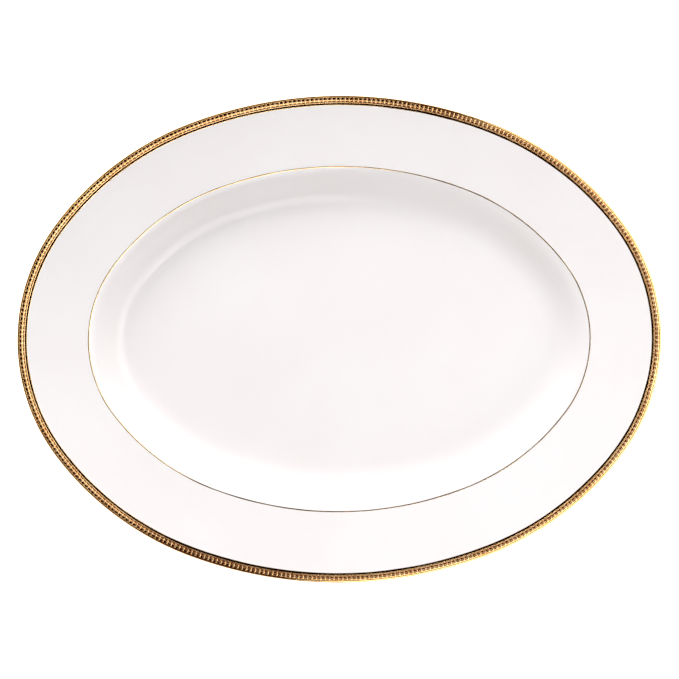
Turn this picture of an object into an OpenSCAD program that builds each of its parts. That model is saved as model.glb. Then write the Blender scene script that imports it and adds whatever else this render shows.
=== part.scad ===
// Oval serving platter in gilded bone china.
// Millimetres, +Z up, +X along the platter. The origin is on the table, at the middle of the foot.
// Every horizontal outline is an eight-arc oval: two end arcs, four shoulder arcs and two side arcs,
// tangent where they meet. All layers share the arc centres, so each keeps a constant width all round.
// A section is drawn once as [depth, z], with depth measured inwards from the gilded edge.

/* [Outline] */
// Overall length over the gilded edge
platter_length = 356; // [340:1:372]
// Growth in radius from the end arcs to the shoulder arcs
shoulder_step = 58; // [54:0.5:62]
// Growth in radius from the shoulder arcs to the side arcs
side_step = 70; // [66:0.25:75]

/* [Rim] */
// Height of the gilded edge above the table
platter_height = 28; // [25:0.5:31]
// Width of the rim, from the edge to the verge where the well begins
rim_width = 39; // [36:0.5:42]
// Drop of the rim from its edge to the verge
rim_drop = 7.6; // [6:0.2:9]
// Hollowness of the rim between its edge and the verge
rim_sag = 0.4; // [0:0.1:0.8]
// Thickness of the glazed china at its edge
edge_thickness = 1.8; // [1.6:0.1:2.4]
// Thickness of the glazed china at the verge
verge_thickness = 3.6; // [3:0.1:4.5]

/* [Well] */
// Depth, measured inwards from the edge, where the flat floor begins
floor_start = 64.5; // [62:0.5:68]
// Height of the well floor above the table
floor_height = 6.6; // [6:0.1:8]
// Slope of the well wall just below the verge, in degrees
verge_slope = 22; // [15:1:30]
// Height of the recessed base above the table
base_height = 2.6; // [2:0.1:3.2]

/* [Foot] */
// Depth, measured inwards from the edge, of the foot's outer side
foot_start = 58; // [57:0.5:59]
// Width of the foot ring at the table
foot_width = 4.2; // [3.6:0.2:4.6]
// Rounding of the foot's lower edges
foot_round = 0.7; // [0.4:0.1:1]
// Height above the table where the glaze is wiped off the foot
glaze_stop = 1.1; // [1:0.1:1.6]

/* [Glaze and gold] */
// Thickness of the glaze
glaze_thickness = 0.2; // [0.16:0.02:0.3]
// Thickness of the gold layer
gold_thickness = 0.12; // [0.1:0.01:0.2]
// Width of the whole gold border on the rim
border_width = 5.4; // [5:0.1:6]
// Width of the plain gold line that closes the border on its inner side
fillet_width = 1; // [0.8:0.1:1.3]
// Pairs of leaves along each quarter of the border
pairs_per_quarter = 100; // [90:1:105]
// Depth of the line that the leaves spring from
leaf_line = 2.4; // [2.3:0.05:2.5]
// Height of the gold ground's crown, which carries that line, above the rest of the ground
crown_height = 0.4; // [0.2:0.02:0.5]
// Width of the raised stem that runs along the crown
stem_width = 0.3; // [0.2:0.02:0.4]
// Height of the stem above the crown
stem_height = 0.16; // [0.1:0.01:0.2]
// Length of a leaf
leaf_length = 1.3; // [1.1:0.05:1.35]
// Width of a leaf
leaf_width = 1.04; // [0.8:0.02:1.1]
// Height of the leaves above the crown's flanks
leaf_height = 0.22; // [0.14:0.02:0.3]
// Width of the gold hairline on the verge
hairline_width = 0.6; // [0.4:0.1:1]

/* [Hidden] */

china_colour = [0.93, 0.91, 0.88];
glaze_colour = [0.98, 0.975, 0.97];
gold_colour = [0.86, 0.66, 0.30];
burnished_colour = [0.90, 0.72, 0.36];

// Outline: 3-4-5 and 44-117-125 triangles give the two directions where arcs meet.
end_joint = [0.8, 0.6];
side_joint = [0.352, 0.936];
half_length = platter_length / 2;
end_radius = half_length - end_joint.x * shoulder_step - side_joint.x * side_step;
shoulder_radius = end_radius + shoulder_step;
side_radius = shoulder_radius + side_step;
end_centre = [half_length - end_radius, 0];
shoulder_centre = end_centre - shoulder_step * end_joint;
side_centre = shoulder_centre - side_step * side_joint;

// Each kind of arc is turned a little too far, as [start, angle], and trimmed to its stretch by a wedge.
end_turn = [-45, 90];
shoulder_turn = [30, 50];
side_turn = [60, 60];
wedge_reach = 400;
wedge_bottom = -40;
wedge_height = 100;
turn_facets = 96;
// Depth where the swept ring ends, and the lesser depth where the centre plate that fills it ends.
ring_end = 76;
plate_edge = 70;
// Directions of the plate's corners on the end, shoulder and side arcs, as [first, last].
plate_turns = [[0, 30], [43, 63], [75, 90]];

// Points that approximate the curved stretches of the section.
rim_steps = 5;
wall_steps = 12;
lip_steps = 4;
round_steps = 4;

edge_radius = edge_thickness / 2;
edge_centre = [gold_thickness + edge_radius, platter_height - gold_thickness - edge_radius];
rim_angle = atan(rim_drop / (rim_width - edge_centre.x));
rim_normal = [sin(rim_angle), cos(rim_angle)];
rim_top = edge_centre + edge_radius * rim_normal;
rim_under = edge_centre - edge_radius * rim_normal;
verge = [rim_width, rim_top.y - (rim_width - rim_top.x) * tan(rim_angle)];
verge_under = verge - verge_thickness * rim_normal;
// The foot leans out by this much from the table up, to where the underside springs from it.
foot_draft = 0.6;
// Drop from the well floor to that place.
foot_drop = 3;
foot_top = [foot_start - foot_draft, floor_height - foot_drop];
// How far the curves of the wall run straight on before they bend.
verge_pull = 10;
floor_pull = 14;
foot_pull = 7;

function rounded(p) = [round(p.x * 1000) / 1000, round(p.y * 1000) / 1000];
function mix(a, b, t) = a + (b - a) * t;
function bezier(p, t) =
    pow(1 - t, 3) * p[0] + 3 * t * pow(1 - t, 2) * p[1]
    + 3 * t * t * (1 - t) * p[2] + pow(t, 3) * p[3];
function arc(centre, r, from, to, steps) =
    [for (i = [0 : steps]) let (a = mix(from, to, i / steps)) centre + r * [cos(a), sin(a)]];
function reversed(list) = [for (i = [len(list) - 1 : -1 : 0]) list[i]];

// Height of the rim's upper surface at a depth, hollowed between edge and verge.
function rim_z(depth) =
    let (t = (depth - rim_top.x) / (verge.x - rim_top.x))
    mix(rim_top.y, verge.y, t) - 4 * rim_sag * t * (1 - t);

// Normals of an open line, out of the china on its right-hand side, mitred at corners.
function segment_normal(a, b) = [b.y - a.y, a.x - b.x] / norm(b - a);
function mitre(m, n) = (m + n) / (1 + m * n);
function line_normals(line) =
    let (last = len(line) - 1)
    [for (i = [0 : last])
        i == 0 ? segment_normal(line[0], line[1])
        : i == last ? segment_normal(line[last - 1], line[last])
        : mitre(segment_normal(line[i - 1], line[i]), segment_normal(line[i], line[i + 1]))];
function moved(line, distance) =
    let (normals = line_normals(line))
    [for (i = [0 : len(line) - 1]) rounded(line[i] + distance * normals[i])];

// The glazed surface seen in section, from the floor up the wall, over the rim and under it to the foot.
floor_line = [[ring_end, floor_height]];
wall_curve = [
    [floor_start, floor_height], [floor_start - floor_pull, floor_height],
    verge + verge_pull * [cos(verge_slope), -sin(verge_slope)], verge
];
wall_line = [for (i = [0 : wall_steps - 1]) bezier(wall_curve, i / wall_steps)];
hairline_line = [
    verge + [hairline_width / 2, -hairline_width / 2 * tan(verge_slope)],
    [rim_width - hairline_width / 2, rim_z(rim_width - hairline_width / 2)]
];
rim_line = [
    for (i = [rim_steps - 1 : -1 : 1])
        let (depth = mix(border_width, rim_width, i / rim_steps)) [depth, rim_z(depth)]
];
border_line = [
    for (depth = [border_width, border_width - fillet_width, rim_top.x]) [depth, rim_z(depth)]
];
lip_line = concat(
    [edge_centre + edge_radius * [0, 1]],
    arc(edge_centre, edge_radius, 90 + 90 / lip_steps, 180, lip_steps - 1),
    arc(edge_centre, edge_radius, 180 + 90 / lip_steps, 270 - rim_angle, lip_steps - 1)
);
under_curve = [
    verge_under, verge_under + verge_pull * [cos(verge_slope), -sin(verge_slope)],
    foot_top - [foot_pull, 0], foot_top
];
under_line = [for (i = [0 : wall_steps]) bezier(under_curve, i / wall_steps)];
foot_side = [[foot_start, glaze_stop]];

face_line = concat(floor_line, wall_line, hairline_line, rim_line);
skin = [for (p = concat(face_line, border_line, lip_line, under_line, foot_side)) rounded(p)];

// Places on the skin where the gold layers begin and end.
hairline_at = len(floor_line) + len(wall_line);
border_at = len(face_line);
lip_at = border_at + 2;
lip_end_at = lip_at + len(lip_line);

body_skin = moved(skin, -glaze_thickness);
gold_skin = moved(skin, gold_thickness);

// The bare foot and the recessed base, from the foot's outer side to the ring's inner end.
foot_outer = foot_start + glaze_thickness;
foot_end = foot_start + foot_width;
base_round = 1.6;
foot_line = concat(
    [[foot_outer, glaze_stop]],
    arc([foot_outer + foot_round, foot_round], foot_round, 180, 270, round_steps),
    arc([foot_end - foot_round, foot_round], foot_round, 270, 360, round_steps),
    [[foot_end, glaze_stop]]
);
base_top = base_height + glaze_thickness;
base_line = concat(
    arc([foot_end + base_round, base_top - base_round], base_round, 180, 90, round_steps),
    [[ring_end, base_top]]
);

// The gold ground rises in a low crown, along a line that runs parallel to the edge.
ground_outer = gold_skin[lip_at];
ground_inner = gold_skin[border_at + 1];
ground_tilt = atan2(ground_outer.y - ground_inner.y, ground_inner.x - ground_outer.x);
ground_normal = [sin(ground_tilt), cos(ground_tilt)];
ground_inward = [cos(ground_tilt), -sin(ground_tilt)];
leaf_z = ground_outer.y - (leaf_line - ground_outer.x) * tan(ground_tilt);
crown_foot = (leaf_line - ground_outer.x) / cos(ground_tilt);
crown_top = stem_width / 2;
flank_tilt = atan2(crown_height, crown_foot - crown_top);
crown_line = [
    for (p = [[crown_foot, 0], [crown_top, crown_height], [-crown_top, crown_height]])
        rounded([leaf_line, leaf_z] + p.x * ground_inward + p.y * ground_normal)
];
leaf_lean = 45;
leaf_fullness = 2.4;
leaf_steps = 3;
end_span = atan2(end_joint.y, end_joint.x);
shoulder_span = atan2(side_joint.y, side_joint.x) - end_span;
side_span = 90 - shoulder_span - end_span;
end_length = end_span * (end_radius - leaf_line);
shoulder_length = shoulder_span * (shoulder_radius - leaf_line);
side_length = side_span * (side_radius - leaf_line);
quarter_length = end_length + shoulder_length + side_length;

// Where a run along the leaf line ends up, as [arc centre, arc radius, direction from the centre].
function station(run) =
    run < end_length
        ? [end_centre, end_radius - leaf_line, run / (end_radius - leaf_line)]
        : run < end_length + shoulder_length
        ? let (radius = shoulder_radius - leaf_line)
            [shoulder_centre, radius, end_span + (run - end_length) / radius]
        : let (radius = side_radius - leaf_line)
            [side_centre, radius, 90 - (quarter_length - run) / radius];

function slice(list, from, to) = [for (i = [from : to]) list[i]];
function between(inner, outer, from, to) =
    concat(slice(inner, from, to), reversed(slice(outer, from, to)));

module trimmed_arc(centre, radius, from, to, turn) {
    intersection() {
        translate([0, 0, wedge_bottom])
            linear_extrude(height = wedge_height)
                polygon([
                    centre, centre + wedge_reach * from,
                    centre + wedge_reach * (from + to), centre + wedge_reach * to
                ]);
        translate(centre)
            rotate_extrude(start = turn[0], angle = turn[1], $fn = turn_facets)
                translate([radius, 0])
                    children();
    }
}

// Sweeps a section, drawn at [-depth, z], right round the oval.
module oval_ring() {
    for (side = [0, 1]) {
        mirror([side, 0, 0])
            trimmed_arc(end_centre, end_radius, [end_joint.x, -end_joint.y], end_joint, end_turn)
                children();
        mirror([0, side, 0])
            trimmed_arc(side_centre, side_radius, side_joint, [-side_joint.x, side_joint.y], side_turn)
                children();
        for (other = [0, 1])
            mirror([side, 0, 0])
                mirror([0, other, 0])
                    trimmed_arc(shoulder_centre, shoulder_radius, end_joint, side_joint, shoulder_turn)
                        children();
    }
}

module section(points) {
    polygon([for (p = points) [-p.x, p.y]]);
}

// Fills the middle of the oval with a flat plate that overlaps the ring's flat part.
module centre_plate(from, to) {
    quarter = concat(
        arc(end_centre, end_radius - plate_edge, plate_turns[0][0], plate_turns[0][1], 2),
        arc(shoulder_centre, shoulder_radius - plate_edge, plate_turns[1][0], plate_turns[1][1], 2),
        arc(side_centre, side_radius - plate_edge, plate_turns[2][0], plate_turns[2][1], 2)
    );
    half = concat(quarter, [for (p = reversed(quarter)) [-p.x, p.y]]);
    outline = concat(half, [for (p = reversed(half)) [p.x, -p.y]]);
    translate([0, 0, from])
        linear_extrude(height = to - from)
            polygon([for (p = outline) rounded(p)]);
}

// Fired bone china: well, wall, rim and foot ring in one piece.
module china_body() {
    color(china_colour) {
        oval_ring() section(concat(body_skin, foot_line, base_line));
        centre_plate(base_top, floor_height - glaze_thickness);
    }
}

// Clear glaze over the face, round the edge and down the back to the foot.
module glaze_coat() {
    color(glaze_colour) {
        oval_ring() section(concat(skin, reversed(body_skin)));
        centre_plate(floor_height - glaze_thickness, floor_height);
    }
}

// Clear glaze on the recessed base, inside the foot ring.
module glaze_base() {
    lining = concat([[foot_end, glaze_stop]], base_line);
    color(glaze_colour) {
        oval_ring() section(concat(lining, reversed(moved(lining, glaze_thickness))));
        centre_plate(base_height, base_top);
    }
}

// Burnished gold wrapped round the edge.
module gold_edge() {
    color(burnished_colour)
        oval_ring() section(between(skin, gold_skin, lip_at, lip_end_at));
}

// Gold ground under the leaves, crowned along the line that they spring from.
module gold_ground() {
    china_side = slice(skin, border_at + 1, lip_at);
    color(gold_colour)
        oval_ring() section(concat(china_side, [ground_outer], reversed(crown_line), [ground_inner]));
}

// Raised gilded stem that runs right round the border between the two rows of leaves.
module leaf_stem() {
    across = crown_top * ground_inward;
    foot = [leaf_line, leaf_z] + crown_height * ground_normal;
    top = foot + stem_height * ground_normal;
    corners = [foot - across, foot + across, top + across, top - across];
    color(gold_colour)
        oval_ring() section([for (p = corners) rounded(p)]);
}

// One leaf on a flank of the crown, its stalk at the stem: side is 1 outwards and -1 inwards.
module leaf(side) {
    half = [
        for (i = [0 : leaf_steps])
            let (t = i / leaf_steps)
            rounded([leaf_width / 2 * sqrt(1 - pow(abs(2 * t - 1), leaf_fullness)), -leaf_length * t])
    ];
    other_half = [for (i = [leaf_steps - 1 : -1 : 1]) [-half[i].x, half[i].y]];
    translate([side * crown_top, 0, crown_height])
        rotate([0, side * flank_tilt, 0])
            rotate(side * leaf_lean)
                linear_extrude(height = leaf_height)
                    polygon(concat(half, other_half));
}

// A row of leaves right round the border, all pointing the same way.
module leaf_row(side) {
    for (quarter = [0 : 3], i = [0 : pairs_per_quarter - 1]) {
        place = station((i + 0.5) / pairs_per_quarter * quarter_length);
        flip = [quarter == 1 || quarter == 2 ? -1 : 1, quarter > 1 ? -1 : 1];
        angle = [place[2], 180 - place[2], 180 + place[2], -place[2]][quarter];
        translate([flip.x * place[0].x, flip.y * place[0].y, leaf_z])
            rotate(angle)
                translate([place[1], 0, 0])
                    rotate([0, -ground_tilt, 0])
                        leaf(side);
    }
}

// Outer row of raised gilded leaves.
module outer_leaves() {
    color(gold_colour) leaf_row(1);
}

// Inner row of raised gilded leaves.
module inner_leaves() {
    color(gold_colour) leaf_row(-1);
}

// Plain gold line that closes the border.
module gold_fillet() {
    color(burnished_colour)
        oval_ring() section(between(skin, gold_skin, border_at, border_at + 1));
}

// Gold hairline on the verge of the well.
module verge_hairline() {
    color(burnished_colour)
        oval_ring() section(between(skin, gold_skin, hairline_at, hairline_at + 1));
}

china_body();
glaze_coat();
glaze_base();
gold_edge();
gold_ground();
leaf_stem();
outer_leaves();
inner_leaves();
gold_fillet();
verge_hairline();
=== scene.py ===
"""Oval serving platter in bone china, with a border of raised gilded leaves, seen from straight above."""

import math
import random

import bmesh
import bpy
import numpy as np
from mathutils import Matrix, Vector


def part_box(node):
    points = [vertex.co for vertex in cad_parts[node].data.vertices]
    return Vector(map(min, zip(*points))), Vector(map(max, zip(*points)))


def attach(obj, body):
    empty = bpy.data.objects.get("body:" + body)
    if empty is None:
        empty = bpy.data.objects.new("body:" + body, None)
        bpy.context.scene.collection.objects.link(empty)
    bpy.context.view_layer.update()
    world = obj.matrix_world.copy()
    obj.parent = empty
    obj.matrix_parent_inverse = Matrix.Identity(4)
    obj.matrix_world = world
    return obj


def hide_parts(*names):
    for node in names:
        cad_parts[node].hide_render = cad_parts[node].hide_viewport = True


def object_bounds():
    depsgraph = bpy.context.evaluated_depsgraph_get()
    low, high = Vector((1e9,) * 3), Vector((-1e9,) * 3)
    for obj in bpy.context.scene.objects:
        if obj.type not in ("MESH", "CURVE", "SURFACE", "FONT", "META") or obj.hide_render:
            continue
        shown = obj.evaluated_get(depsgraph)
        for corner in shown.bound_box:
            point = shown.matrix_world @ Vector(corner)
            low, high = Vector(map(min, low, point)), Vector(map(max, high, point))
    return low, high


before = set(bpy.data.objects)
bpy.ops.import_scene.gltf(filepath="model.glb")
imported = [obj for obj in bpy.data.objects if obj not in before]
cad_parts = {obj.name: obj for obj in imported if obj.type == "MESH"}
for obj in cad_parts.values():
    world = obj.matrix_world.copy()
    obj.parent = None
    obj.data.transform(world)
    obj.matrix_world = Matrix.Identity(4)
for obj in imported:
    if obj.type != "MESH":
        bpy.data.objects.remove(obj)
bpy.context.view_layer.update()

MM = 0.001


def low(node, axis):
    """Lowest reach of a CAD node along an axis, in millimetres."""
    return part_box(node)[0][axis] / MM


def high(node, axis):
    """Highest reach of a CAD node along an axis, in millimetres."""
    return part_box(node)[1][axis] / MM


X, Z = 0, 2

# Outline, in millimetres: three kinds of arc in each quarter, tangent where they meet.
HALF_LENGTH = high("gold_edge", X)
END_JOINT = (0.8, 0.6)
SIDE_JOINT = (0.352, 0.936)
SHOULDER_STEP = 58.0
SIDE_STEP = 70.0
END_RADIUS = HALF_LENGTH - END_JOINT[0] * SHOULDER_STEP - SIDE_JOINT[0] * SIDE_STEP

# Section, in millimetres: depth is measured inwards from the gilded edge.
GOLD = 0.12
GLAZE = 0.2
EDGE_RADIUS = 0.9
EDGE_DEPTH = GOLD + EDGE_RADIUS
EDGE_HEIGHT = high("gold_edge", Z) - EDGE_DEPTH
RIM_WIDTH = 39.0
RIM_DROP = 7.6
RIM_SAG = 0.4
VERGE_THICKNESS = 3.6
VERGE_SLOPE = math.radians(22)
FLOOR_START = 64.5
FLOOR_HEIGHT = 6.6
FOOT_START = 58.0
FOOT_END = HALF_LENGTH - high("glaze_base", X)
FOOT_ROUND = 0.7
GLAZE_STOP = low("glaze_base", Z)
BASE_ROUND = 1.6
BASE_HEIGHT = high("glaze_base", Z) - GLAZE
CENTRE_DEPTH = 100.0

# How far the section's curved stretches run straight on before they bend, in millimetres.
FLOOR_PULL = 14.0
VERGE_PULL = 10.0
FOOT_PULL = 7.0
# The underside springs from the foot this far out of its side, and this far below the floor.
FOOT_DRAFT = 0.6
FOOT_DROP = 3.0
# Reach over which the glaze rounds the corners of the face and of the back.
FACE_SOFTNESS = 2.4
BACK_SOFTNESS = 1.2
WALL_POINTS = 120
RIM_POINTS = 160
# Spacing of the section's points on the meshes, and on the line that the gilding is laid along.
FACE_STEP = 0.9
BACK_STEP = 1.2
GILDING_STEP = 0.05

# Gilding, in millimetres.
BORDER_WIDTH = 5.4
FILLET_WIDTH = 1.25
HAIRLINE_WIDTH = 0.6
LEAF_LINE = 2.4
CROWN_HEIGHT = 0.4
BEAD_HEIGHT = 0.1
STEM_WIDTH = 0.3
STEM_HEIGHT = 0.16
LEAF_LENGTH = 1.3
LEAF_WIDTH = 1.04
LEAF_HEIGHT = 0.22
LEAF_LEAN = math.radians(45)
PAIRS_PER_QUARTER = 100

RIM_ANGLE = math.atan(RIM_DROP / (RIM_WIDTH - EDGE_DEPTH))
RIM_NORMAL = np.array((math.sin(RIM_ANGLE), math.cos(RIM_ANGLE)))
EDGE_CENTRE = np.array((EDGE_DEPTH, EDGE_HEIGHT))
RIM_TOP = EDGE_CENTRE + EDGE_RADIUS * RIM_NORMAL
CROWN_HALF = LEAF_LINE - RIM_TOP[0]
VERGE_HEIGHT = RIM_TOP[1] - (RIM_WIDTH - RIM_TOP[0]) * math.tan(RIM_ANGLE)


# ---- Outline ----

def quarter_arcs(depth):
    """The first quarter's arcs at a depth, from end to side: centre, radius, first and last direction."""
    end_centre = np.array((HALF_LENGTH - END_RADIUS, 0.0))
    shoulder_centre = end_centre - SHOULDER_STEP * np.array(END_JOINT)
    side_centre = shoulder_centre - SIDE_STEP * np.array(SIDE_JOINT)
    end_turn = math.atan2(END_JOINT[1], END_JOINT[0])
    side_turn = math.atan2(SIDE_JOINT[1], SIDE_JOINT[0])
    return (
        (end_centre, END_RADIUS - depth, 0.0, end_turn),
        (shoulder_centre, END_RADIUS + SHOULDER_STEP - depth, end_turn, side_turn),
        (side_centre, END_RADIUS + SHOULDER_STEP + SIDE_STEP - depth, side_turn, math.pi / 2),
    )


def stations(per_quarter, depth, start):
    """Stations round the oval, evenly spaced at a depth: arc centre x and y, edge radius and direction.

    The first station lies a fraction of a step, the start, on from the end of the platter.
    """
    arcs = quarter_arcs(depth)
    lengths = [radius * (last - first) for _, radius, first, last in arcs]
    quarter = []
    for i in range(per_quarter + 1):
        run = (i + start) / per_quarter * sum(lengths)
        for (centre, radius, first, last), length in zip(arcs, lengths):
            if run <= length or last == math.pi / 2:
                break
            run -= length
        quarter.append((centre[0], centre[1], radius + depth, min(first + run / radius, math.pi / 2)))
    there = quarter[:per_quarter]
    back = quarter[per_quarter:0:-1] if start == 0 else there[::-1]
    rows = list(there)
    rows += [(-x, y, r, math.pi - a) for x, y, r, a in back]
    rows += [(-x, -y, r, math.pi + a) for x, y, r, a in there]
    rows += [(x, -y, r, 2 * math.pi - a) for x, y, r, a in back]
    return np.array(rows)


# ---- Section ----

def bezier(controls, count):
    """Points along a cubic curve in the section."""
    a, b, c, d = (np.array(p, float) for p in controls)
    t = np.linspace(0, 1, count)[:, None]
    return (1 - t) ** 3 * a + 3 * t * (1 - t) ** 2 * b + 3 * t * t * (1 - t) * c + t ** 3 * d


def arc(centre, radius, first, last, count):
    """Points along an arc in the section, with its directions in degrees."""
    turn = np.radians(np.linspace(first, last, count))
    return np.array(centre) + radius * np.stack((np.cos(turn), np.sin(turn)), axis=1)


def rim_height(depth):
    """Height of the rim's upper surface, slightly hollow between the edge and the verge."""
    t = (depth - RIM_TOP[0]) / (RIM_WIDTH - RIM_TOP[0])
    return RIM_TOP[1] + (VERGE_HEIGHT - RIM_TOP[1]) * t - 4 * RIM_SAG * t * (1 - t)


def lengths_along(line):
    """Distance run along a line at each of its points."""
    steps = np.hypot(*np.diff(line, axis=0).T)
    return np.concatenate(([0.0], np.cumsum(steps)))


def resampled(line, step):
    """The same line with points about a step apart."""
    along = lengths_along(line)
    at = np.linspace(0, along[-1], max(2, round(along[-1] / step) + 1))
    return np.stack([np.interp(at, along, line[:, k]) for k in (0, 1)], axis=1)


def softened(line, reach):
    """The line with its corners rounded over a reach, as glaze does it. Its ends stay where they are."""
    fine = resampled(line, reach / 8)
    kernel = np.hanning(17)[1:-1]
    kernel /= kernel.sum()
    half = len(kernel) // 2
    out = fine.copy()
    for k in (0, 1):
        padded = np.concatenate((
            2 * fine[0, k] - fine[half:0:-1, k], fine[:, k], 2 * fine[-1, k] - fine[-2:-half - 2:-1, k]
        ))
        out[:, k] = np.convolve(padded, kernel, mode="valid")
    return out


def moved(line, distance):
    """The line moved to its right by a distance, one for all points or one for each."""
    tangent = np.gradient(line, axis=0)
    tangent /= np.hypot(*tangent.T)[:, None]
    normal = np.stack((tangent[:, 1], -tangent[:, 0]), axis=1)
    return line + normal * np.reshape(distance, (-1, 1))


def face_line():
    """The glazed face from the middle, up the wall and over the rim to the edge."""
    wall = bezier((
        (FLOOR_START, FLOOR_HEIGHT),
        (FLOOR_START - FLOOR_PULL, FLOOR_HEIGHT),
        (RIM_WIDTH + VERGE_PULL * math.cos(VERGE_SLOPE), VERGE_HEIGHT - VERGE_PULL * math.sin(VERGE_SLOPE)),
        (RIM_WIDTH, VERGE_HEIGHT),
    ), WALL_POINTS)
    depths = np.linspace(RIM_WIDTH, RIM_TOP[0], RIM_POINTS)[1:]
    rim = np.stack((depths, rim_height(depths)), axis=1)
    start = np.array(((CENTRE_DEPTH, FLOOR_HEIGHT),))
    return softened(np.concatenate((start, wall, rim)), FACE_SOFTNESS)


def back_line():
    """The glazed underside from the edge, down under the wall to the foot."""
    under = EDGE_CENTRE - EDGE_RADIUS * RIM_NORMAL
    verge = np.array((RIM_WIDTH, VERGE_HEIGHT)) - VERGE_THICKNESS * RIM_NORMAL
    foot_top = (FOOT_START - FOOT_DRAFT, FLOOR_HEIGHT - FOOT_DROP)
    wall = bezier((
        verge,
        verge + VERGE_PULL * np.array((math.cos(VERGE_SLOPE), -math.sin(VERGE_SLOPE))),
        (foot_top[0] - FOOT_PULL, foot_top[1]),
        foot_top,
    ), WALL_POINTS)
    foot = np.array(((FOOT_START, GLAZE_STOP),))
    return softened(np.concatenate((under[None, :], wall, foot)), BACK_SOFTNESS)


def lip_line():
    """The rounded edge, from the rim's upper surface round to its underside."""
    turn = math.degrees(RIM_ANGLE)
    return arc(EDGE_CENTRE, EDGE_RADIUS, 90 - turn, 270 - turn, 25)


def foot_line():
    """The bare foot, from its outer side under the bearing edge to its inner side."""
    outer = FOOT_START + GLAZE
    return np.concatenate((
        ((outer, GLAZE_STOP),),
        arc((outer + FOOT_ROUND, FOOT_ROUND), FOOT_ROUND, 180, 270, 9),
        arc((FOOT_END - FOOT_ROUND, FOOT_ROUND), FOOT_ROUND, 270, 360, 9),
        ((FOOT_END, GLAZE_STOP),),
    ))


def base_line():
    """The glazed recess inside the foot, from the foot's inner side to the middle."""
    return np.concatenate((
        ((FOOT_END, GLAZE_STOP),),
        arc((FOOT_END + BASE_ROUND, BASE_HEIGHT + GLAZE - BASE_ROUND), BASE_ROUND, 180, 90, 11),
        ((CENTRE_DEPTH, BASE_HEIGHT + GLAZE),),
    ))


def skin_line(face_step, back_step):
    """The whole glazed skin in the section, from the middle of the face round the edge to the foot."""
    face = resampled(face_line(), face_step)
    back = resampled(back_line(), back_step)
    return np.concatenate((face, lip_line()[1:-1], back))


SKIN = skin_line(FACE_STEP, BACK_STEP)


# ---- Meshes ----

def make_piece(name, vertices, faces, material, slot, replaced):
    """Makes one smooth mesh piece in place of its CAD nodes."""
    mesh = bpy.data.meshes.new(name)
    mesh.from_pydata([tuple(v * MM for v in vertex) for vertex in vertices], [], faces)
    tidy = bmesh.new()
    tidy.from_mesh(mesh)
    bmesh.ops.recalc_face_normals(tidy, faces=tidy.faces)
    tidy.to_mesh(mesh)
    tidy.free()
    mesh.shade_smooth()
    mesh.materials.append(material)
    piece = bpy.data.objects.new(name, mesh)
    bpy.context.collection.objects.link(piece)
    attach(piece, "root")
    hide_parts(replaced)
    return piece


def swept(section, around, capped):
    """Vertices and faces of a section swept round the oval. A capped one starts and ends near the middle."""
    rows, count = len(section), len(around)
    section = np.broadcast_to(np.reshape(section, (rows, -1, 2)), (rows, count, 2))
    reach = around[None, :, 2] - section[:, :, 0]
    x = around[None, :, 0] + reach * np.cos(around[None, :, 3])
    y = around[None, :, 1] + reach * np.sin(around[None, :, 3])
    vertices = np.stack((x, y, section[:, :, 1]), axis=2).reshape(-1, 3)
    faces = []
    for row in range(rows - 1 if capped else rows):
        a = row * count
        b = (row + 1) % rows * count
        faces += [(a + i, a + (i + 1) % count, b + (i + 1) % count, b + i) for i in range(count)]
    if capped:
        faces.append(tuple(range(count)))
        faces.append(tuple(range((rows - 1) * count, rows * count)))
    return vertices, faces


def waver(count, size, seed):
    """A slow closed wander round the oval, as of a hand-drawn line."""
    draw = random.Random(seed)
    turn = np.linspace(0, 2 * math.pi, count, endpoint=False)
    fewest, most, wave_count = 3, 40, 9
    waves = [(draw.randint(fewest, most), draw.uniform(0, 2 * math.pi)) for _ in range(wave_count)]
    return size / 3 * sum(np.sin(turns * turn + phase) for turns, phase in waves)


SKIN_LINE = skin_line(GILDING_STEP, GILDING_STEP)
SKIN_RUN = lengths_along(SKIN_LINE)
SKIN_NORMAL = moved(SKIN_LINE, 1.0) - SKIN_LINE
FACE_LENGTH = lengths_along(face_line())[-1]
LIP_LENGTH = EDGE_RADIUS * math.pi


def run_at(depth):
    """Distance along the skin, from the middle, where the face reaches a depth."""
    face = SKIN_LINE[:np.searchsorted(SKIN_RUN, FACE_LENGTH)]
    return np.interp(-depth, -face[:, 0], SKIN_RUN[:len(face)])


def on_skin(run, height):
    """Section points at runs along the skin, raised off it by heights."""
    point = [np.interp(run, SKIN_RUN, SKIN_LINE[:, k]) for k in (0, 1)]
    normal = [np.interp(run, SKIN_RUN, SKIN_NORMAL[:, k]) for k in (0, 1)]
    size = np.hypot(*normal)
    return np.stack([p + height * n / size for p, n in zip(point, normal)], axis=-1)


def layer(first, last, height, points, around):
    """Mesh of a layer on the skin between two runs, with its thickness as a function across it."""
    t = np.linspace(0, 1, points)[:, None]
    run = first + (last - first) * t
    top = on_skin(run, np.broadcast_to(height(t), run.shape))
    sunk = on_skin(run[::-4], np.full(run[::-4].shape, -SUNK))
    return swept(np.concatenate((top, sunk)), around, capped=False)


# How far a layer of gold reaches down into the glaze, in millimetres.
SUNK = 0.03
CHINA_STATIONS = stations(100, 0.0, 0.0)
GILT_STATIONS = stations(200, 0.0, 0.0)


def flat_coat(t):
    """Thickness of a burnished layer across its width, rounded off at both sides."""
    return GOLD * (1 - abs(2 * t - 1) ** 8) ** 0.5


def crown_at(depth):
    """Height of the gold ground over the china, with its low crown under the leaves."""
    across = np.clip(abs(depth - LEAF_LINE) / CROWN_HALF, 0, 1)
    return GOLD + CROWN_HEIGHT * (1 - across ** 2.2) ** 1.1


def round_bead(t):
    """Height of the bead beside the crown, across its width."""
    return GOLD + BEAD_HEIGHT * (1 - abs(2 * t - 1) ** 2.4) ** 0.6


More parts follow.
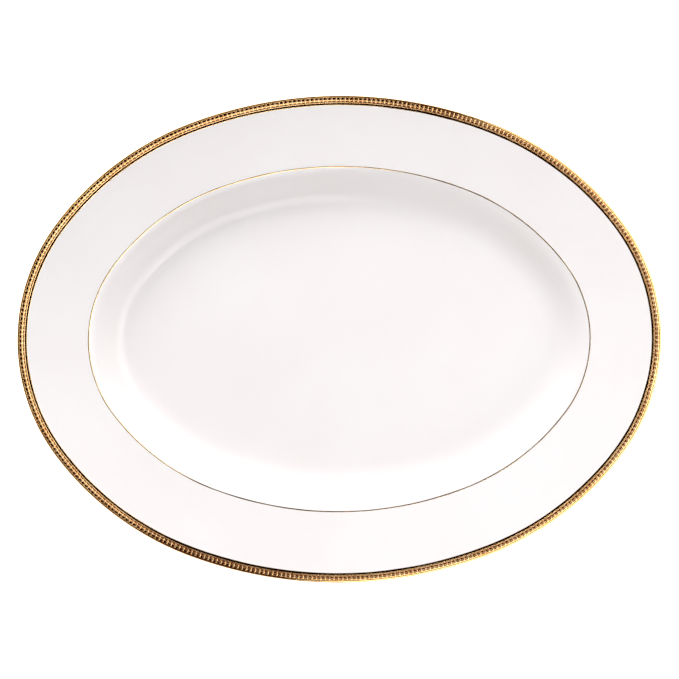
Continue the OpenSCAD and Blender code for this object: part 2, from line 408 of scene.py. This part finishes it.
def crowned_ground(t):
    """Thickness of the gold ground between its inner and outer sides."""
    depth = BORDER_WIDTH - FILLET_WIDTH + (RIM_TOP[0] - BORDER_WIDTH + FILLET_WIDTH) * t
    edges = (1 - abs(2 * t - 1) ** 24) ** 0.5
    return edges * crown_at(depth)


def round_stem(t):
    """Height of the stem across its width, over the crown."""
    return crown_at(LEAF_LINE) + STEM_HEIGHT * (1 - abs(2 * t - 1) ** 2.2) ** 0.5


def leaf_form():
    """One leaf at the origin, its stalk there and its tip along -Y: vertices and faces, closed below."""
    rows, across = 9, 9
    u = np.linspace(-1, 1, across)
    vertices = [(0.0, 0.0, 0.0)]
    for row in range(1, rows + 1):
        t = row / (rows + 1)
        half = LEAF_WIDTH / 2 * (1 - abs(2 * t - 1) ** 2.4) ** 0.5
        swell = (2 * half / LEAF_WIDTH) ** 0.5
        dome = swell * (1 - u ** 4) ** 0.6 * (0.8 + 0.2 * (1 - u * u))
        vein = 0.12 * np.exp(-(u / 0.16) ** 2)
        for k in range(across):
            vertices.append((u[k] * half, -LEAF_LENGTH * t, LEAF_HEIGHT * (dome[k] - vein[k])))
    tip = len(vertices)
    vertices.append((0.0, -LEAF_LENGTH, 0.0))
    faces = [(0, 1 + k, 2 + k) for k in range(across - 1)]
    for row in range(rows - 1):
        a = 1 + row * across
        faces += [(a + k, a + across + k, a + across + k + 1, a + k + 1) for k in range(across - 1)]
    last = 1 + (rows - 1) * across
    faces += [(last + k, tip, last + k + 1) for k in range(across - 1)]
    rim = [0] + [1 + row * across for row in range(rows)] + [tip]
    rim += [across + row * across for row in range(rows - 1, -1, -1)]
    under = len(vertices)
    vertices += [(vertices[i][0], vertices[i][1], -SUNK) for i in rim]
    count = len(rim)
    faces += [(rim[i], rim[(i + 1) % count], under + (i + 1) % count, under + i) for i in range(count)]
    faces.append(tuple(under + i for i in range(count)))
    return vertices, faces


def leaf_row(side, seed):
    """Vertices and faces of a row of leaves right round the border: side is 1 outwards, -1 inwards."""
    draw = random.Random(seed)
    form, form_faces = leaf_form()
    form = np.array(form)
    vertices, faces = [], []
    for x, y, radius, turn in stations(PAIRS_PER_QUARTER, LEAF_LINE, 0.5):
        lean = side * LEAF_LEAN + draw.uniform(-0.04, 0.04)
        leaf = form * (draw.uniform(0.94, 1.0), draw.uniform(0.95, 1.0), draw.uniform(0.86, 1.0))
        outwards = side * STEM_WIDTH / 2 + leaf[:, 0] * math.cos(lean) - leaf[:, 1] * math.sin(lean)
        sideways = leaf[:, 0] * math.sin(lean) + leaf[:, 1] * math.cos(lean)
        depth = LEAF_LINE - outwards
        section = on_skin(run_at(depth), crown_at(depth) + leaf[:, 2])
        reach = radius - section[:, 0]
        start = len(vertices)
        vertices += list(zip(
            x + reach * math.cos(turn) - sideways * math.sin(turn),
            y + reach * math.sin(turn) + sideways * math.cos(turn),
            section[:, 1],
        ))
        faces += [tuple(start + i for i in face) for face in form_faces]
    return vertices, faces


# ---- Materials ----

def material(name, metallic, roughness):
    """A new material with its shader, its nodes and a function that links them."""
    made = bpy.data.materials.new(name)
    made.use_nodes = True
    nodes = made.node_tree.nodes
    shader = nodes["Principled BSDF"]
    shader.inputs["Metallic"].default_value = metallic
    shader.inputs["Roughness"].default_value = roughness
    return made, shader, nodes, made.node_tree.links.new


def noise(nodes, link, vector, scale, detail=3.0, rough=0.5):
    """A noise texture at a scale per metre."""
    node = nodes.new("ShaderNodeTexNoise")
    node.inputs["Scale"].default_value = scale
    node.inputs["Detail"].default_value = detail
    node.inputs["Roughness"].default_value = rough
    link(vector, node.inputs["Vector"])
    return node.outputs["Fac"]


def spread(nodes, link, value, low_in, high_in, low_out, high_out):
    """A value mapped from one range to another, and kept inside it."""
    node = nodes.new("ShaderNodeMapRange")
    node.inputs["From Min"].default_value = low_in
    node.inputs["From Max"].default_value = high_in
    node.inputs["To Min"].default_value = low_out
    node.inputs["To Max"].default_value = high_out
    link(value, node.inputs["Value"])
    return node.outputs["Result"]


def blend_colours(nodes, link, factor, first, second):
    """A colour between two, by a factor. Each is a colour or another node's output."""
    node = nodes.new("ShaderNodeMix")
    node.data_type = "RGBA"
    link(factor, node.inputs["Factor"])
    for socket, colour in zip(("A", "B"), (first, second)):
        target = next(s for s in node.inputs if s.name == socket and s.type == "RGBA")
        if isinstance(colour, tuple):
            target.default_value = (*colour, 1)
        else:
            link(colour, target)
    return next(s for s in node.outputs if s.type == "RGBA")


def bump(nodes, link, height, distance, strength, under=None):
    """A bump of a given depth in metres, over another bump if one is given."""
    node = nodes.new("ShaderNodeBump")
    node.inputs["Distance"].default_value = distance
    node.inputs["Strength"].default_value = strength
    link(height, node.inputs["Height"])
    if under is not None:
        link(under, node.inputs["Normal"])
    return node.outputs["Normal"]


def object_place(nodes):
    """Object coordinates, in metres."""
    return nodes.new("ShaderNodeTexCoord").outputs["Object"]


def glazed_china():
    """White bone china under a clear glaze, with a faint unevenness and a few fine specks."""
    made, shader, nodes, link = material("glazed_china", 0.0, 0.1)
    place = object_place(nodes)
    clouds = noise(nodes, link, place, 14, 4)
    grain = noise(nodes, link, place, 900, 2)
    cloudy = spread(nodes, link, clouds, 0.35, 0.65, 0, 1)
    specked = spread(nodes, link, grain, 0.62, 0.8, 0, 0.25)
    tone = blend_colours(nodes, link, cloudy, (0.915, 0.872, 0.868), (0.935, 0.898, 0.896))
    tone = blend_colours(nodes, link, specked, tone, (0.84, 0.81, 0.78))
    link(tone, shader.inputs["Base Color"])
    link(spread(nodes, link, clouds, 0.3, 0.7, 0.07, 0.13), shader.inputs["Roughness"])
    sway = bump(nodes, link, noise(nodes, link, place, 22, 2), 0.0004, 0.12)
    link(bump(nodes, link, noise(nodes, link, place, 420, 2), 0.00002, 0.25, sway), shader.inputs["Normal"])
    shader.inputs["IOR"].default_value = 1.52
    shader.inputs["Specular IOR Level"].default_value = 0.2
    return made


def bare_china():
    """Fired bone china with no glaze, matt and finely grained."""
    made, shader, nodes, link = material("bare_china", 0.0, 0.6)
    place = object_place(nodes)
    grain = noise(nodes, link, place, 2600, 4, 0.7)
    stain = noise(nodes, link, place, 45, 4)
    stained = spread(nodes, link, stain, 0.35, 0.7, 0, 1)
    specked = spread(nodes, link, grain, 0.55, 0.8, 0, 0.5)
    tone = blend_colours(nodes, link, stained, (0.80, 0.77, 0.71), (0.68, 0.63, 0.56))
    tone = blend_colours(nodes, link, specked, tone, (0.5, 0.45, 0.38))
    link(tone, shader.inputs["Base Color"])
    link(spread(nodes, link, grain, 0.3, 0.7, 0.55, 0.8), shader.inputs["Roughness"])
    link(bump(nodes, link, grain, 0.00006, 0.5), shader.inputs["Normal"])
    return made


def gold(name, rich, pale, smooth, rough, grain_strength):
    """Overglaze gold: rich where it lies thick, paler where it is rubbed, with a fine grain."""
    made, shader, nodes, link = material(name, 1.0, 0.2)
    place = object_place(nodes)
    clouds = noise(nodes, link, place, 60, 4)
    fine = noise(nodes, link, place, 3500, 3, 0.65)
    tone = blend_colours(nodes, link, spread(nodes, link, clouds, 0.35, 0.65, 0, 1), rich, pale)
    worn = spread(nodes, link, noise(nodes, link, place, 240, 5, 0.7), 0.6, 0.75, 0, 0.4)
    tone = blend_colours(nodes, link, worn, tone, tuple(0.5 * (a + 0.9) for a in pale))
    link(tone, shader.inputs["Base Color"])
    link(spread(nodes, link, fine, 0.3, 0.7, smooth, rough), shader.inputs["Roughness"])
    link(bump(nodes, link, fine, 0.00002, grain_strength), shader.inputs["Normal"])
    return made


# ---- Pieces ----

def make_china():
    """The body and its two coats of glaze."""
    body = np.concatenate((moved(SKIN, -GLAZE), foot_line()[1:], base_line()[1:]))
    make_piece("fired_body", *swept(body, CHINA_STATIONS, capped=True), BARE, "bone_china", "china_body")
    coat = np.concatenate((SKIN, moved(SKIN, -GLAZE)[::-1]))
    make_piece("glaze_skin", *swept(coat, CHINA_STATIONS, capped=True), GLAZED, "clear_glaze", "glaze_coat")
    lining = base_line()
    base = np.concatenate((lining, moved(lining, GLAZE)[::-1]))
    lined = swept(base, CHINA_STATIONS, capped=True)
    make_piece("base_glaze_skin", *lined, GLAZED, "clear_glaze", "glaze_base")


def make_gilding():
    """The gold edge, the ground with its leaves, the line that closes the border and the hairline."""
    count = len(GILT_STATIONS)
    lip = run_at(RIM_TOP[0])
    edge = layer(lip, lip + LIP_LENGTH + waver(count, 0.12, 3), flat_coat, 41, GILT_STATIONS)
    make_piece("edge_gilding", *edge, BURNISHED, "burnished_gold", "gold_edge")
    fillet_end = run_at(BORDER_WIDTH - FILLET_WIDTH)
    ground = layer(fillet_end, lip, crowned_ground, 49, GILT_STATIONS)
    # The ground layer's material carries painted shade, dark brown for the pits between the leaves.
    make_piece("border_ground", *ground, GROUND_GOLD_PAINTED_SHADE, "gold_ground", "gold_ground")
    bead = layer(fillet_end, run_at(LEAF_LINE + CROWN_HALF), round_bead, 17, GILT_STATIONS)
    make_piece("border_bead", *bead, RAISED, "gold_ground", "gold_ground")
    fillet = layer(run_at(BORDER_WIDTH) + waver(count, 0.04, 5), fillet_end, flat_coat, 25, GILT_STATIONS)
    make_piece("border_line", *fillet, BURNISHED, "burnished_gold", "gold_fillet")
    hairline = layer(
        run_at(RIM_WIDTH + HAIRLINE_WIDTH / 2) + waver(count, 0.04, 7),
        run_at(RIM_WIDTH - HAIRLINE_WIDTH / 2) + waver(count, 0.04, 11),
        flat_coat, 21, GILT_STATIONS,
    )
    make_piece("verge_line", *hairline, BURNISHED, "burnished_gold", "verge_hairline")
    stem = (run_at(LEAF_LINE + STEM_WIDTH / 2), run_at(LEAF_LINE - STEM_WIDTH / 2))
    make_piece("stem", *layer(*stem, round_stem, 9, GILT_STATIONS), RAISED, "raised_gold", "leaf_stem")
    make_piece("outer_leaf_row", *leaf_row(1, 13), RAISED, "raised_gold", "outer_leaves")
    make_piece("inner_leaf_row", *leaf_row(-1, 17), RAISED, "raised_gold", "inner_leaves")


GLAZED = glazed_china()
BARE = bare_china()
BURNISHED = gold("burnished_gold", (0.93, 0.64, 0.27), (0.97, 0.73, 0.38), 0.04, 0.09, 0.1)
# The gold ground's dark brown colour is painted shade: it stands in for the shadow in the pits between the
# raised leaves.
GROUND_GOLD_PAINTED_SHADE = gold("ground_gold_painted_shade", (0.42, 0.22, 0.09), (0.56, 0.33, 0.14), 0.1, 0.2, 0.2)
RAISED = gold("raised_gold", (0.93, 0.60, 0.29), (0.97, 0.71, 0.41), 0.2, 0.32, 0.3)
make_china()
make_gilding()


# ---- Stage ----

def make_camera():
    """A long lens straight above, turned a touch as the platter lies in the view."""
    view_width = 0.3748
    distance = 2.2
    lens = bpy.data.cameras.new("camera")
    lens.sensor_width = 36
    lens.lens = lens.sensor_width * distance / view_width
    lens.clip_end = 20
    camera = bpy.data.objects.new("camera", lens)
    camera.location = (0.0001, -0.0002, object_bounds()[1][Z] + distance)
    camera.rotation_euler = (0, 0, math.radians(-0.45))
    bpy.context.collection.objects.link(camera)
    bpy.context.scene.camera = camera


def area_light(name, azimuth, elevation, distance, size, power, colour):
    """A square soft panel that faces the platter. Its azimuth runs from +X towards +Y, in degrees."""
    panel = bpy.data.lights.new(name, "AREA")
    panel.size = size
    panel.energy = power
    panel.color = colour
    lamp = bpy.data.objects.new(name, panel)
    across, up = math.radians(azimuth), math.radians(elevation)
    spot = (math.cos(across) * math.cos(up), math.sin(across) * math.cos(up), math.sin(up))
    lamp.location = [distance * c for c in spot]
    lamp.rotation_euler = lamp.location.to_track_quat("Z", "Y").to_euler()
    bpy.context.collection.objects.link(lamp)
    return lamp


PANEL_DISTANCE = 0.75
PANEL_SIZE = 0.45
WHITE = (1.0, 1.0, 1.0)
# Soft white panels that light the china: azimuth, elevation and power.
FILL_PANELS = (
    (90, 20, 4.0),
    (140, 20, 4.4),
    (180, 60, 0.9),
    (-30, 60, 1.7),
    (-30, 25, 3.6),
)
CARD_ELEVATION = 49
CARD_DISTANCE = 1.0
# Large cards that the gold mirrors: azimuth, size, power and colour.
CARDS = (
    (-72, 0.5, 3.4, (1.0, 0.98, 0.94)),
    (-32, 0.5, 3.6, (1.0, 0.98, 0.94)),
    (8, 0.5, 3.3, (1.0, 0.97, 0.92)),
    (46, 0.44, 2.2, (1.0, 0.95, 0.88)),
)


def make_lights():
    """Soft fill that isn't mirrored, for the china, and cards that are only mirrored, for the gold."""
    for i, (azimuth, elevation, power) in enumerate(FILL_PANELS):
        lamp = area_light(f"fill_panel_{i}", azimuth, elevation, PANEL_DISTANCE, PANEL_SIZE, power, WHITE)
        lamp.visible_glossy = False
    for i, (azimuth, size, power, colour) in enumerate(CARDS):
        lamp = area_light(f"card_{i}", azimuth, CARD_ELEVATION, CARD_DISTANCE, size, power, colour)
        lamp.visible_diffuse = False


def make_floor():
    """A plain white floor, wide enough for every view."""
    made, shader, nodes, link = material("floor_paper", 0.0, 0.9)
    speck = noise(nodes, link, object_place(nodes), 30, 3)
    specked = spread(nodes, link, speck, 0.3, 0.7, 0, 1)
    tone = blend_colours(nodes, link, specked, (0.93, 0.93, 0.93), (0.95, 0.95, 0.95))
    link(tone, shader.inputs["Base Color"])
    shader.inputs["Emission Color"].default_value = (1, 1, 1, 1)
    shader.inputs["Emission Strength"].default_value = 0.6
    mesh = bpy.data.meshes.new("floor")
    reach = 3.0
    corners = [(-reach, -reach, 0), (reach, -reach, 0), (reach, reach, 0), (-reach, reach, 0)]
    mesh.from_pydata(corners, [], [(0, 1, 2, 3)])
    mesh.materials.append(made)
    floor = bpy.data.objects.new("floor", mesh)
    bpy.context.collection.objects.link(floor)


def make_world():
    """A dim warm room that is only mirrored, dark overhead, so that polished gold looks dark from above."""
    world = bpy.data.worlds.new("room")
    bpy.context.scene.world = world
    world.use_nodes = True
    nodes, link = world.node_tree.nodes, world.node_tree.links.new
    split = nodes.new("ShaderNodeSeparateXYZ")
    link(nodes.new("ShaderNodeTexCoord").outputs["Generated"], split.inputs["Vector"])
    walls, ceiling = 0.24, 0.004
    glow = spread(nodes, link, split.outputs["Z"], 0.6, 0.85, walls, ceiling)
    link(glow, nodes["Background"].inputs["Strength"])
    world.cycles_visibility.diffuse = False
    nodes["Background"].inputs["Color"].default_value = (1.0, 0.46, 0.32, 1)


make_camera()
make_floor()
make_world()
make_lights()
bpy.context.scene.view_settings.view_transform = "Standard"
